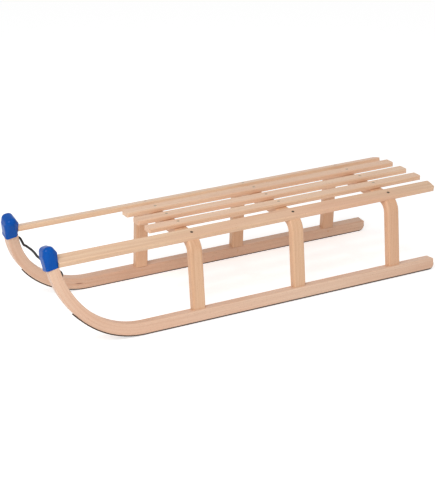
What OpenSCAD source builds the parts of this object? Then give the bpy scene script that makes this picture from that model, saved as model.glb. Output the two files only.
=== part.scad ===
// Wooden sledge: two bentwood runners, three bentwood arches, two long seat rails and
// three inner slats, with moulded caps over the horns and a short pull cord between them.
// +X is forward, +Y is the rider's left, +Z is up, and the ground is Z = 0.
// Left-hand pieces are drawn in full and mirrored for the right-hand side.

/* [Overall] */
// Length from the rear ends of the rails to the front of the horn caps
overall_len = 1103; // [1000:1:1250]
// Height of the top of the inner slats above the ground
seat_h = 229; // [205:1:250]
// Distance between the centre lines of the two steel strips
track_w = 337; // [320:1:370]
// Lean of the legs and runners towards the middle of the sledge, in degrees
splay = 5; // [3:0.5:7]

/* [Runners] */
// Width of a runner
runner_w = 29; // [26:0.5:33]
// Height of a runner
runner_h = 29; // [26:0.5:33]
// Rounding along the edges of a runner
runner_edge_r = 4; // [2:0.5:6]
// How far the runners stop short of the rear ends of the rails
runner_setback = 19; // [5:1:60]
// Rounding of the runner's heel, under which the strip turns up
heel_r = 12; // [8:1:16]
// Bend radius of the horn at its centre line
horn_r = 216; // [190:1:235]
// Part of the bend that lies in the plane of the legs, in degrees
lower_bend = 30; // [20:1:35]
// Part of the bend that turns towards the middle, in degrees
upper_bend = 51.5; // [44:0.5:56]
// Roll of the upper part of the bend towards the middle, in degrees
horn_roll = 14; // [8:1:18]

/* [Steel strips] */
// Width of a strip
strip_w = 22; // [16:0.5:24]
// Thickness of a strip
strip_t = 3; // [2:0.25:4]
// How far round the bend of the horn a strip reaches, in degrees
strip_reach = 50; // [45:1:60]
// How far a strip's end stands up behind the heel
heel_turn_up = 2; // [1:0.5:6]

/* [Arches] */
// Distance from the rear ends of the rails to the middle of the rear arch
rear_arch_x = 140; // [100:1:180]
// Distance from one arch to the next
arch_pitch = 287; // [240:1:300]
// Size of an arch's strip of wood along the sledge
arch_w = 34; // [28:0.5:38]
// Thickness of an arch's strip of wood
arch_t = 23; // [20:0.5:26]
// Rounding along the edges of an arch
arch_edge_r = 5; // [2:0.5:7]
// Bend radius of an arch's corners at its centre line
arch_r = 34; // [30:1:42]
// Length of a leg's tenon along the sledge
tenon_w = 22; // [16:0.5:25]
// Thickness of a leg's tenon
tenon_t = 13; // [10:0.5:14]
// Depth of a leg's tenon in the runner
tenon_len = 21; // [16:0.5:22]

/* [Seat] */
// Width of an inner slat
slat_w = 35; // [28:0.5:38]
// Thickness of an inner slat
slat_t = 14; // [11:0.5:18]
// Length of an inner slat
slat_len = 800; // [760:5:860]
// Distance from one slat's centre line to the next
slat_pitch = 64; // [52:0.5:66]
// Width of an outer rail
rail_w = 39; // [34:0.5:42]
// Thickness of an outer rail
rail_t = 14; // [12:0.5:16]
// Distance of a rail's centre line from the middle of the sledge
rail_y = 129; // [126:0.5:132]
// How much lower than the slats' top the middle of a rail's top lies
rail_drop = 8; // [7:0.5:10]
// Outward tilt of the rails, in degrees
rail_tilt = 14; // [8:1:18]
// Rounding along the edges of rails and slats
board_edge_r = 3.5; // [1:0.5:5]
// Rounding of the corners at a rail's rear end
rail_corner_r = 9; // [4:1:12]
// Rounding of the corners at a slat's ends
slat_corner_r = 6; // [4:1:12]

/* [Horn caps] */
// Size of a cap's rim along the sledge
cap_d = 31; // [30:0.5:34]
// Size of a cap's rim across the sledge
cap_w = 32; // [31:0.5:36]
// Height of a cap along its axis
cap_h = 56; // [52:1:62]
// Height of a cap's shoulder
cap_shoulder_h = 34.5; // [33:0.5:37]
// How much further back a cap reaches at its shoulder than at its rim
cap_flare = 7; // [4:0.5:8]
// Radius of a cap's dome
cap_dome_r = 12.5; // [10:0.5:13]
// Distance across the sledge between the centres of the dome's two halves
cap_dome_w = 21; // [16:0.5:22]
// Distance along the sledge between the front and rear of the dome's halves
cap_dome_d = 5; // [3:0.5:8]
// Thickness of a cap's dome
cap_wall = 2.6; // [2:0.2:3.5]
// Rounding of a cap's corners
cap_round = 6; // [4:0.5:7]
// Forward lean of a cap, in degrees
cap_tilt = 9; // [6:1:10]
// Lean of a cap towards the middle of the sledge, in degrees
cap_lean = 14; // [11:1:15]
// How far ahead of the horn's centre a cap sits
cap_ahead = 3; // [2:0.5:3.5]
// Size of the horn's trimmed tip along the sledge, inside the cap
tip_d = 22; // [21:0.5:23]
// Size of the horn's trimmed tip across the sledge
tip_w = 24; // [23:0.5:25]
// Height of the horn's trimmed tip above the cap's rim
tip_h = 32; // [30:1:33]

/* [Fasteners and cord] */
// Diameter of a wood screw's head
screw_head_d = 8; // [7:0.25:9]
// Diameter of a wood screw's shank
screw_d = 4; // [3.5:0.25:4.5]
// Length of a rail screw
rail_screw_len = 28; // [24:1:30]
// Length of a slat screw
slat_screw_len = 32; // [28:1:34]
// Length of a strip screw
strip_screw_len = 18; // [14:1:20]
// Length of the screw through a horn's tip into the rail
horn_screw_len = 45; // [35:1:60]
// Diameter of the wooden pin through a leg's tenon
pin_d = 5; // [4:0.5:6]
// Length of the pin through a leg's tenon
pin_len = 20; // [18:0.5:22]
// How far behind the middle of an arch the rail screws go in
rail_screw_back = 3.5; // [0:0.5:5]
// Diameter of the pull cord
cord_d = 6; // [5:0.5:6.5]
// Diameter of the knot on each end of the pull cord
knot_d = 10; // [9:0.5:10.5]

/* [Hidden] */

$fn = 64;

// Clearances
wood_gap = 0.2;      // between a tenon and its mortise, or a rail and its seat
hole_gap = 0.05;     // round a screw's thread in its pilot hole
shank_gap = 0.2;     // round a screw's shank in the board that it holds
cap_gap = 0.3;       // between a cap and the wood inside it
knot_gap = 0.2;      // round the knot in its recess, and round the cord in its hole
lap = 0.3;           // how far one length of a bent strip runs into the next
slim = 0.05;         // how much slimmer it is there, on every side

// Colours
beech = [0.88, 0.72, 0.55];
dark_steel = [0.22, 0.17, 0.14];
screw_steel = [0.30, 0.25, 0.21];
cap_blue = [0.05, 0.31, 0.68];
cord_black = [0.07, 0.07, 0.07];

lap_angle = lap / horn_r * 180 / PI;

// Places along the sledge
rear_x = -overall_len / 2;
front_x = overall_len / 2;
arch_x = [for (i = [0 : 2]) rear_x + rear_arch_x + i * arch_pitch];
runner_rear_x = rear_x + runner_setback;

screw_head_t = (screw_head_d - screw_d) / 2;

// Heights in a runner's own frame, which leans with the legs
runner_mid_z = strip_t + runner_h / 2;
runner_top_z = strip_t + runner_h;
ground_lift = strip_w / 2 * sin(splay);

// End of the horn's bend, measured from the start of the bend
reach_x = horn_r * (sin(lower_bend) + sin(upper_bend) * cos(lower_bend)
    - (1 - cos(upper_bend)) * cos(horn_roll) * sin(lower_bend));
reach_y = -horn_r * (1 - cos(upper_bend)) * sin(horn_roll);
reach_z = horn_r * (1 - cos(lower_bend) + sin(upper_bend) * sin(lower_bend)
    + (1 - cos(upper_bend)) * cos(horn_roll) * cos(lower_bend));
cap_reach = (cap_d / 2 - cap_round) * cos(cap_tilt) + cap_shoulder_h * sin(cap_tilt) + cap_round;
cap_x = front_x - cap_reach;
rim_x = cap_x - cap_ahead;
bend_x = rim_x - reach_x;

// Legs and arches
leg_y = -(runner_w - arch_t) / 2;
arch_top_z = seat_h - slat_t;
bend_centre_z = arch_top_z - arch_t / 2 - arch_r;
leg_bend_z = (bend_centre_z - ground_lift - (leg_y - arch_r) * sin(splay)) / cos(splay);
bend_centre_y = track_w / 2 + (leg_y - arch_r) * cos(splay) - leg_bend_z * sin(splay);

// The horn's rim, under the cap, in the sledge's frame
rim_y = track_w / 2 + reach_y * cos(splay) - (runner_mid_z + reach_z) * sin(splay);
rim_z = ground_lift + reach_y * sin(splay) + (runner_mid_z + reach_z) * cos(splay);

// A cap sits a little further in and higher than the horn's centre, and the horn's tip is
// set back in it
cap_y = rim_y - cap_ahead / 2;
cap_z = rim_z + cap_ahead / 3;
tip_x = -cap_ahead / 2;
tip_y = cap_ahead / 6;

// Rails: their middle line is that of the top face, and their ends are housed in the caps
rail_top_z = seat_h - rail_drop;
rail_housing = 2;
rail_end_x = cap_x - (cap_d / 2 - cap_round + cap_flare) * cos(cap_tilt)
    + cap_shoulder_h * sin(cap_tilt) - cap_round + rail_housing;
notch_x = cap_x + tip_x / 2;
tongue_w = tip_w - 5;

// The hole for the cord, in the cap's frame: from the horn's rear face up to the knot
cord_hole_y = -5.2;
cord_hole_drop = 11;
cord_hole_slope = 45;
horn_rear_x = -runner_h / 2 - cap_ahead;
knot_x = tip_x + (tip_d - knot_d) / 2 - knot_gap;
knot_z = (knot_x - horn_rear_x) * tan(cord_hole_slope) - cord_hole_drop;

// Screw through the horn's tip into the rail, in the rail's frame
horn_screw_y = 6.5;
horn_screw_sink = 1.2;
horn_screw_x = cap_x + (tip_x + tip_d / 2) * cos(cap_tilt)
    + (rail_top_z - rail_t / 2 - cap_z) * sin(cap_tilt) - horn_screw_sink;

// Route of the pull cord, from the right-hand horn to the left-hand one
cord_route = [
    [511.5, -127, 190], [506.5, -128, 186.5], [503.5, -127.5, 181], [502, -124.5, 176],
    [501.5, -119.5, 172.5], [502, -113.5, 171.5], [502.5, -107, 173], [503.5, -99, 175.5],
    [503.5, -90, 176], [503.5, -75, 177], [503.5, -58, 177.5], [503.5, -48, 177],
    [503, -38, 175], [503, -28, 172.5], [502.5, -18, 172], [502.5, 5, 172], [502.5, 30, 172],
    [502.5, 55, 172], [502.5, 80, 172.5], [502.5, 92, 172.5], [502.5, 100, 172],
    [502, 108, 169.5], [501.5, 115, 168.5], [501.5, 121, 171], [502, 125, 175.5],
    [503.5, 127.5, 181], [506.5, 128, 186.5], [511.5, 127, 190]
];

module rounded_rect(w, h, r) {
    translate([-w / 2 + r, -h / 2]) square([w - 2 * r, h]);
    translate([-w / 2, -h / 2 + r]) square([w, h - 2 * r]);
    for (i = [-1, 1], j = [-1, 1])
        translate([i * (w / 2 - r), j * (h / 2 - r)]) circle(r);
}

// The section of a length of bent wood that runs into its neighbour
module slim_rect(w, h, r) {
    rounded_rect(w - 2 * slim, h - 2 * slim, r - slim);
}

// A slot-shaped outline, as a router cuts it
module slot_shape(length, width) {
    translate([-(length - width) / 2, -width / 2]) square([length - width, width]);
    for (i = [-1, 1]) translate([i * (length - width) / 2, 0]) circle(width / 2);
}

// Draws its outline in the YZ plane and extrudes it along +X
module along_x(length) {
    rotate([90, 0, 90]) linear_extrude(length) children();
}

// Draws for both sides, from the left-hand piece
module both_sides() {
    children();
    mirror([0, 1, 0]) children();
}

// The left-hand runner's own frame: it leans with the legs and stands on the strip's sole
module side_frame() {
    translate([0, track_w / 2, ground_lift]) rotate([splay, 0, 0]) children();
}

// The bend of the horn, turning up from +X about an axis at the given radius.
// Its outline has the outer face of the bend at +X and the middle of the sledge at +Y.
module bend(angle, start = 0) {
    translate([0, 0, horn_r]) rotate([90, 0, 0]) rotate([0, 0, start - 90])
        rotate_extrude(angle = angle - start, $fn = 180) translate([horn_r, 0]) children();
}

// Moves its children to the end of a bend of the given angle
module past_bend(angle) {
    translate([0, 0, horn_r]) rotate([0, -angle, 0]) translate([0, 0, -horn_r]) children();
}

module lower_bend_frame() {
    translate([bend_x, 0, runner_mid_z]) children();
}

module upper_bend_frame() {
    lower_bend_frame() past_bend(lower_bend) rotate([horn_roll, 0, 0]) children();
}

// The cap's own frame: its origin is the middle of its rim, and +Z is its axis
module cap_frame() {
    translate([cap_x, cap_y, cap_z])
        rotate([cap_lean, 0, 0]) rotate([0, cap_tilt, 0]) children();
}

// A countersunk wood screw that points down from the origin
module wood_screw(length) {
    point_t = screw_d;
    recess = 0.5 * screw_head_d;
    difference() {
        union() {
            translate([0, 0, -screw_head_t])
                cylinder(d1 = screw_d, d2 = screw_head_d, h = screw_head_t);
            translate([0, 0, point_t - length])
                cylinder(d = screw_d, h = length - point_t - screw_head_t);
            translate([0, 0, -length]) cylinder(d1 = 0.6, d2 = screw_d, h = point_t);
        }
        for (turn = [0, 90]) rotate(turn) cube([recess, 0.9, 2.4], center = true);
    }
}

// The hole for it: sunk for the head, clear through the first piece, then a pilot hole
module screw_hole(length, clear_t, sink = 1) {
    translate([0, 0, -screw_head_t]) cylinder(d1 = screw_d, d2 = screw_head_d, h = screw_head_t);
    translate([0, 0, -lap]) cylinder(d = screw_head_d, h = sink + lap);
    translate([0, 0, -clear_t]) cylinder(d = screw_d + 2 * shank_gap, h = clear_t - 1);
    translate([0, 0, -length - 0.5]) cylinder(d = screw_d + 2 * hole_gap, h = length);
}

// Where the strip screws go: behind the heel, between the legs and up the bend
strip_screw_x = [arch_x[0] - rear_arch_x / 2 + runner_setback / 2,
    (arch_x[0] + arch_x[1]) / 2, (arch_x[1] + arch_x[2]) / 2];
strip_screw_angles = [6, strip_reach - 4];

module at_strip_screws() {
    for (x = strip_screw_x) translate([x, 0, 0]) rotate([180, 0, 0]) children();
    lower_bend_frame() past_bend(strip_screw_angles[0])
        translate([0, 0, -runner_mid_z]) rotate([180, 0, 0]) children();
    upper_bend_frame() past_bend(strip_screw_angles[1] - lower_bend)
        rotate([-horn_roll, 0, 0]) translate([0, 0, -runner_mid_z])
        rotate([180, 0, 0]) children();
}

module at_legs() {
    for (x = arch_x) translate([x, leg_y, 0]) children();
}

// The pin goes in from the inner face of the runner, halfway down the tenon
module at_leg_pins() {
    for (x = arch_x)
        translate([x, -runner_w / 2, runner_top_z - tenon_len / 2]) rotate([-90, 0, 0]) children();
}

module leg_pin_hole() {
    translate([0, 0, -1]) cylinder(d = pin_d + 2 * hole_gap, h = pin_len + 1.5);
}

// Points along the hole for the cord, towards the knot
module cord_hole_frame() {
    translate([knot_x, cord_hole_y, knot_z]) rotate([0, 90 - cord_hole_slope, 0]) children();
}

module cord_hole() {
    run = (knot_x - horn_rear_x) / cos(cord_hole_slope) + runner_h / 4;
    cap_frame() cord_hole_frame() translate([0, 0, -run]) cylinder(d = cord_d + 2 * knot_gap, h = run);
    cap_frame() translate([knot_x, cord_hole_y, knot_z]) {
        sphere(d = knot_d + 2 * knot_gap);
        rotate([0, 90, 0]) cylinder(d = knot_d + 2 * knot_gap, h = tip_d);
    }
}

module left_runner_bar() {
    heel_x = runner_rear_x + strip_t;
    toe_r = runner_edge_r;
    length = bend_x - heel_x;
    intersection() {
        translate([heel_x, 0, runner_mid_z]) along_x(length + lap)
            slim_rect(runner_w, runner_h, runner_edge_r);
        translate([heel_x, runner_w, strip_t]) rotate([90, 0, 0]) linear_extrude(2 * runner_w) {
            translate([heel_r, 0]) square([length, runner_h]);
            translate([0, heel_r]) square([heel_r + 1, runner_h - heel_r - toe_r]);
            translate([toe_r, runner_h / 2]) square([heel_r, runner_h / 2]);
            translate([heel_r, heel_r]) circle(heel_r);
            translate([toe_r, runner_h - toe_r]) circle(toe_r);
        }
    }
}

// The bent part of the horn runs past the rim, where it is sawn off square to the cap
module horn_bend() {
    difference() {
        side_frame() {
            lower_bend_frame() bend(lower_bend)
                rounded_rect(runner_h, runner_w, runner_edge_r);
            upper_bend_frame() bend(upper_bend + 2, -lap_angle)
                rotate(horn_roll) slim_rect(runner_h, runner_w, runner_edge_r);
        }
        cap_frame() translate([-runner_w, -runner_w, 0]) cube(2 * runner_w);
    }
}

// The horn's trimmed tip fills the cap, and its rear half is notched for the rail's end
module horn_tip() {
    difference() {
        cap_frame() translate([tip_x, tip_y, -3]) linear_extrude(tip_h + 3)
            rounded_rect(tip_d, tip_w, runner_edge_r);
        rail_frame() translate([notch_x - tip_d, -rail_w, -rail_t])
            cube([tip_d, 2 * rail_w, 2 * tip_h]);
    }
}

module left_runner() {
    color(beech) difference() {
        union() {
            side_frame() left_runner_bar();
            horn_bend();
            horn_tip();
        }
        side_frame() {
            at_legs() translate([0, 0, runner_top_z - tenon_len - wood_gap])
                linear_extrude(tenon_len + 5)
                slot_shape(tenon_w + 2 * wood_gap, tenon_t + 2 * wood_gap);
            at_leg_pins() leg_pin_hole();
            at_strip_screws() screw_hole(strip_screw_len, strip_t);
        }
        cord_hole();
        horn_screw_frame() screw_hole(horn_screw_len, horn_screw_x - notch_x + 1, tip_d / 2);
    }
}

module left_runner_strip() {
    sole = runner_h / 2;
    heel_x = runner_rear_x + strip_t;
    color(dark_steel) side_frame() difference() {
        union() {
            translate([heel_x + heel_r, 0, strip_t / 2]) along_x(bend_x - heel_x - heel_r + lap)
                square([strip_w - 2 * slim, strip_t - 2 * slim], center = true);
            lower_bend_frame() bend(lower_bend)
                translate([sole, -strip_w / 2]) square([strip_t, strip_w]);
            upper_bend_frame() bend(strip_reach - lower_bend, -lap_angle) rotate(horn_roll)
                translate([sole + slim, slim - strip_w / 2])
                square([strip_t - 2 * slim, strip_w - 2 * slim]);
            translate([heel_x + heel_r, 0, strip_t + heel_r]) rotate([90, 0, 0]) rotate([0, 0, 180])
                rotate_extrude(angle = 90) translate([heel_r, -strip_w / 2])
                square([strip_t, strip_w]);
            translate([runner_rear_x, -strip_w / 2, strip_t + heel_r - lap])
                cube([strip_t, strip_w, heel_turn_up + lap]);
        }
        at_strip_screws() screw_hole(strip_screw_len, strip_t + 1);
    }
}

// A rail lies on the arches' shoulders: the origin is the middle of its top face
module rail_frame() {
    translate([0, rail_y, rail_top_z]) rotate([-rail_tilt, 0, 0]) children();
}

// The narrowed end of a rail, which lies in the notch of the horn's tip
module rail_tongue() {
    translate([rail_end_x - lap, -tongue_w / 2, -rail_t])
        cube([notch_x - rail_end_x + lap, tongue_w, rail_t]);
}

// A board along +X with its top at Z = 0; front_extra puts its front corners past its end
module board(length, w, t, corner_r, front_extra = 0) {
    intersection() {
        translate([0, 0, -t / 2]) along_x(length) rounded_rect(w, t, board_edge_r);
        translate([(length + front_extra) / 2, 0, -t - 1]) linear_extrude(t + 2)
            rounded_rect(length + front_extra, w, corner_r);
    }
}

module at_rail_screws() {
    rail_frame() for (x = arch_x) translate([x - rail_screw_back, 0, 0]) children();
}

module at_slat_screws(i) {
    for (x = arch_x) translate([x, i * slat_pitch, seat_h]) children();
}

// Points back along the rail, from the front face of the horn's tip
module horn_screw_frame() {
    rail_frame() translate([horn_screw_x, horn_screw_y, -rail_t / 2]) rotate([0, 90, 0]) children();
}

module left_seat_rail() {
    color(beech) difference() {
        rail_frame() {
            translate([rear_x, 0, 0])
                board(rail_end_x - rear_x, rail_w, rail_t, rail_corner_r, 2 * rail_corner_r);
            rail_tongue();
        }
        at_rail_screws() screw_hole(rail_screw_len, rail_t);
        horn_screw_frame() screw_hole(horn_screw_len, horn_screw_x - notch_x + 1);
    }
}

module slat(i) {
    color(beech) difference() {
        translate([rear_x, i * slat_pitch, seat_h])
            board(slat_len, slat_w, slat_t, slat_corner_r);
        at_slat_screws(i) screw_hole(slat_screw_len, slat_t);
    }
}

// One leg of an arch with its tenon and its bend, in the runner's own frame
module arch_leg() {
    translate([0, leg_y, runner_top_z]) linear_extrude(leg_bend_z - runner_top_z + lap)
        slim_rect(arch_w, arch_t, arch_edge_r);
    translate([0, leg_y, runner_top_z - tenon_len]) linear_extrude(tenon_len + 1)
        slot_shape(tenon_w, tenon_t);
    translate([0, leg_y - arch_r, leg_bend_z]) rotate([90, 0, 90])
        rotate_extrude(angle = 90 - splay, $fn = 96)
        translate([arch_r, 0]) rounded_rect(arch_t, arch_w, arch_edge_r);
}

// The flat that each rail is housed in, across the shoulder of an arch
module rail_seat() {
    rail_frame() translate([-arch_w, -rail_w / 2 - wood_gap, -rail_t])
        cube([2 * arch_w, rail_w + 2 * wood_gap, 3 * rail_t]);
}

module arch(i) {
    color(beech) difference() {
        translate([arch_x[i], 0, 0]) difference() {
            union() {
                both_sides() side_frame() arch_leg();
                translate([0, bend_centre_y + lap, arch_top_z - arch_t / 2]) rotate([90, 0, 0])
                    linear_extrude(2 * bend_centre_y + 2 * lap)
                    slim_rect(arch_w, arch_t, arch_edge_r);
            }
            both_sides() rail_seat();
        }
        both_sides() side_frame() at_leg_pins() leg_pin_hole();
        both_sides() at_rail_screws() screw_hole(rail_screw_len, rail_t);
        for (k = [-1 : 1]) at_slat_screws(k) screw_hole(slat_screw_len, slat_t);
    }
}

// The corners of a cap's shoulder and the halves of its dome, shrunk by a wall
module cap_corners(wall = 0) {
    x = cap_d / 2 - cap_round;
    y = cap_w / 2 - cap_round;
    for (j = [-1, 1]) {
        for (k = [x, -x - cap_flare]) translate([k, j * y, cap_shoulder_h])
            sphere(cap_round - wall, $fn = 32);
        for (k = [0, -cap_dome_d]) translate([k, j * cap_dome_w / 2, cap_h - cap_dome_r])
            sphere(cap_dome_r - wall, $fn = 48);
    }
}

// The way that a rail's end takes through the rear wall of a cap that is put on from above
module cap_slot() {
    turn = rail_tilt + cap_lean;
    half_w = (tongue_w * cos(turn) + rail_t * sin(turn)) / 2 + cap_gap;
    mid_y = rail_y - rail_t / 2 * sin(rail_tilt) - cap_y;
    mid_z = rail_top_z - rail_t / 2 * cos(rail_tilt) - cap_z;
    slot_y = mid_y * cos(cap_lean) + mid_z * sin(cap_lean);
    slot_z = mid_z * cos(cap_lean) - mid_y * sin(cap_lean) - cap_d / 2 * sin(cap_tilt);
    rail_frame() translate([rail_end_x - cap_d, -tongue_w / 2 - cap_gap, -rail_t - cap_gap])
        cube([notch_x - rail_end_x + cap_d + cap_gap, tongue_w + 2 * cap_gap, rail_t + 2 * cap_gap]);
    cap_frame() translate([-cap_d, slot_y - half_w, -1]) cube([cap_d, 2 * half_w, slot_z + 1]);
    rail_frame() translate([rail_end_x - cap_d, -rail_w / 2 - cap_gap, -rail_t - cap_gap])
        cube([cap_d + cap_gap, rail_w + 2 * cap_gap, rail_t + 2 * cap_gap]);
}

module left_horn_cap() {
    color(cap_blue) difference() {
        cap_frame() difference() {
            hull() {
                linear_extrude(cap_shoulder_h) rounded_rect(cap_d, cap_w, cap_round, $fn = 32);
                cap_corners();
            }
            translate([tip_x, tip_y, -1]) linear_extrude(cap_shoulder_h)
                rounded_rect(tip_d + 2 * cap_gap, tip_w + 2 * cap_gap, runner_edge_r + cap_gap);
            hull() cap_corners(cap_wall);
        }
        cap_slot();
    }
}

module rail_screws() {
    color(screw_steel) both_sides() at_rail_screws() wood_screw(rail_screw_len);
}

module slat_screws() {
    color(screw_steel) for (i = [-1 : 1]) at_slat_screws(i) wood_screw(slat_screw_len);
}

module strip_screws() {
    color(screw_steel) both_sides() side_frame() at_strip_screws() wood_screw(strip_screw_len);
}

module leg_pins() {
    color(beech) both_sides() side_frame() at_leg_pins() cylinder(d = pin_d, h = pin_len);
}

module horn_screws() {
    color(screw_steel) both_sides() horn_screw_frame() wood_screw(horn_screw_len);
}

// Length of cord in each horn, with the knot that keeps it there
module cord_ends() {
    run = (knot_x - horn_rear_x) / cos(cord_hole_slope);
    color(cord_black) both_sides() cap_frame() {
        cord_hole_frame() translate([0, 0, -run]) cylinder(d = cord_d, h = run);
        translate([knot_x, cord_hole_y, knot_z]) sphere(d = knot_d);
    }
}

function unit(v) = v / norm(v);

function direction(p, i) = i == 0 ? unit(p[1] - p[0])
    : i == len(p) - 1 ? unit(p[i] - p[i - 1])
    : unit(unit(p[i + 1] - p[i]) + unit(p[i] - p[i - 1]));

// A round tube along a route that never runs along X
module tube(route, d, sides) {
    last = len(route) - 1;
    points = [for (i = [0 : last]) let (
            t = direction(route, i),
            a = unit(cross(t, [1, 0, 0])),
            b = cross(a, t))
        for (k = [0 : sides - 1])
            route[i] + d / 2 * (cos(360 * k / sides) * a + sin(360 * k / sides) * b)];
    walls = [for (i = [0 : last - 1], k = [0 : sides - 1]) let (
            m = i * sides,
            n = (k + 1) % sides)
        each [[m + k, m + n, m + sides + n], [m + k, m + sides + n, m + sides + k]]];
    first_end = [for (k = [sides - 1 : -1 : 0]) k];
    last_end = [for (k = [0 : sides - 1]) last * sides + k];
    polyhedron(points, concat(walls, [first_end], [last_end]));
}

module pull_cord() {
    color(cord_black) tube(cord_route, cord_d, 10);
}

left_runner();
mirror([0, 1, 0]) left_runner();  // right_runner
left_runner_strip();
mirror([0, 1, 0]) left_runner_strip();  // right_runner_strip
left_seat_rail();
mirror([0, 1, 0]) left_seat_rail();  // right_seat_rail
slat(1);  // left_slat
slat(0);  // centre_slat
slat(-1);  // right_slat
arch(2);  // front_arch
arch(1);  // middle_arch
arch(0);  // rear_arch
left_horn_cap();
mirror([0, 1, 0]) left_horn_cap();  // right_horn_cap
rail_screws();
slat_screws();
strip_screws();
leg_pins();
horn_screws();
pull_cord();
cord_ends();
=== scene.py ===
# %% [markdown]
# A wooden sledge of the old bentwood kind. Its solids come from a CAD model that is already
# packed. This script gives each of them its finish, draws the boards of the seat a little
# thinner, makes the caps, the pull cord and the screws in full detail, and sets up the camera
# and the lights.
#
# The frame is loaded first, because everything after it is placed from its sizes.

# %% Load the frame
import math
from functools import partial

import bmesh
import bpy
from mathutils import Matrix, Vector


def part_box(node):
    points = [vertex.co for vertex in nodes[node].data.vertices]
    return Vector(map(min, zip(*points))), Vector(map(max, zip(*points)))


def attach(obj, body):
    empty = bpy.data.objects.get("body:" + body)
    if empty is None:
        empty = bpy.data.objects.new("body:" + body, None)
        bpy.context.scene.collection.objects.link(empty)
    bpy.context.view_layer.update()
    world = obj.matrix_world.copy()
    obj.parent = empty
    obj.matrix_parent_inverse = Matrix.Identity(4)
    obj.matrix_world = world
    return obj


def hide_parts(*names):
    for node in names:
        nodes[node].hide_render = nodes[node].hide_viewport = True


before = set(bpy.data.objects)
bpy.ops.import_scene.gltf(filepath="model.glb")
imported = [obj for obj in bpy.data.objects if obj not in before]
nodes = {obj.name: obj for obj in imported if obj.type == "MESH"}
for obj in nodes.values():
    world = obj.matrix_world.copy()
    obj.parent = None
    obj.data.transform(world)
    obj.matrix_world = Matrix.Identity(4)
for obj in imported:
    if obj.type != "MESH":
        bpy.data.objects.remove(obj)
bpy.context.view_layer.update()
print("nodes in the frame:", len(nodes))

# %% [markdown]
# The camera stands where a photographer would: ahead of the sledge, on the rider's left, and
# at standing height. It is a long lens, so the far runner is hardly smaller than the near one.
# A small shift, and a roll of less than a degree, frame the sledge as in the photograph.

# %% Camera
PHOTO_HEIGHT_PX = 495
SHIFT_PX = (7.03, 1.63)
CAMERA_AT = Vector((1.8163, 3.3640, 1.6074))
VIEW_DIRECTION = Vector((-0.4345, -0.8227, -0.3666))
CAMERA_ROLL = math.radians(-0.783)
LENS_MM = 116.2
SENSOR_MM = 36

lens = bpy.data.cameras.new("lens")
lens.lens = LENS_MM
lens.sensor_width = SENSOR_MM
lens.shift_x = SHIFT_PX[0] / PHOTO_HEIGHT_PX
lens.shift_y = SHIFT_PX[1] / PHOTO_HEIGHT_PX
camera = bpy.data.objects.new("camera", lens)
turn = VIEW_DIRECTION.to_track_quat("-Z", "Y").to_matrix() @ Matrix.Rotation(CAMERA_ROLL, 3, "Z")
camera.matrix_world = Matrix.Translation(CAMERA_AT) @ turn.to_4x4()
bpy.context.scene.collection.objects.link(camera)
bpy.context.scene.camera = camera
print("camera", round(CAMERA_AT.length, 2), "m from the middle of the sledge")

# %% [markdown]
# Shader maths reads best as arithmetic. A Wire holds one output socket, and adding or
# multiplying two of them adds the Math node that does it, so `1 - mask` is written as it
# looks. Every other node comes from Graph.node, which sets the node's options first and then
# fills its inputs with numbers, colours or other Wires.

# %% Writing node trees as arithmetic
class Wire:
    """One output socket of a node tree."""

    def __init__(self, graph, socket):
        self.graph = graph
        self.socket = socket

    def __add__(self, other):
        return self.graph.maths("ADD", self, other)

    def __sub__(self, other):
        return self.graph.maths("SUBTRACT", self, other)

    def __rsub__(self, other):
        return self.graph.maths("SUBTRACT", other, self)

    def __mul__(self, other):
        return self.graph.maths("MULTIPLY", self, other)

    def __truediv__(self, other):
        return self.graph.maths("DIVIDE", self, other)

    def __gt__(self, other):
        return self.graph.maths("GREATER_THAN", self, other)

    def __lt__(self, other):
        return self.graph.maths("LESS_THAN", self, other)

    __radd__ = __add__
    __rmul__ = __mul__


class Graph:
    """A node tree that is written from empty."""

    def __init__(self, tree):
        self.tree = tree
        tree.nodes.clear()

    def node(self, kind, settings=None, inputs=None, out=0):
        made = self.tree.nodes.new(kind)
        for name, value in (settings or {}).items():
            setattr(made, name, value)
        for name, value in (inputs or {}).items():
            if isinstance(value, Wire):
                self.tree.links.new(value.socket, made.inputs[name])
            else:
                made.inputs[name].default_value = value
        return Wire(self, made.outputs[out]) if made.outputs else None

    def maths(self, operation, *values):
        return self.node("ShaderNodeMath", {"operation": operation}, dict(enumerate(values)))

    def distance(self, across, up):
        """How far a point lies from the origin of a plane."""
        return self.maths("SQRT", across * across + up * up)

    def vector(self, x, y, z):
        return self.node("ShaderNodeCombineXYZ", {}, {0: x, 1: y, 2: z})

    def part(self, vector, k):
        """The x, y or z of a vector, for k of 0, 1 or 2."""
        return self.node("ShaderNodeSeparateXYZ", {}, {0: vector}, out=k)

    def mix(self, factor, first, second):
        blend = {"data_type": "RGBA", "clamp_factor": True}
        return self.node("ShaderNodeMix", blend, {0: factor, 6: first, 7: second}, out=2)

    def noise(self, place, scale, detail):
        return self.node("ShaderNodeTexNoise", {}, {
            "Vector": place, "Scale": scale, "Detail": detail})

    def between(self, value, low, high):
        """0 below low, 1 above high, and smooth in between."""
        limits = {"Value": value, "From Min": low, "From Max": high}
        return self.node("ShaderNodeMapRange", {"interpolation_type": "SMOOTHSTEP"}, limits)

    def object_place(self):
        """The point in metres, in the sledge's own frame."""
        return self.node("ShaderNodeTexCoord", out="Object")


# %% [markdown]
# A colour is written as a paint program shows it, from 0 to 255. Blender adds up light, and
# the screen's scale isn't even in light, so each of the three numbers is converted first. All
# the finishes of this sledge end alike: in one shader, and a bump that feeds its normal.

# %% Colours and finishes
def colour(red, green, blue):
    """A colour from 0 to 255, turned into the light that Blender adds up."""
    def light(value):
        value = value / 255
        return value / 12.92 if value <= 0.04045 else ((value + 0.055) / 1.055) ** 2.4
    return (light(red), light(green), light(blue), 1.0)


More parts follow.
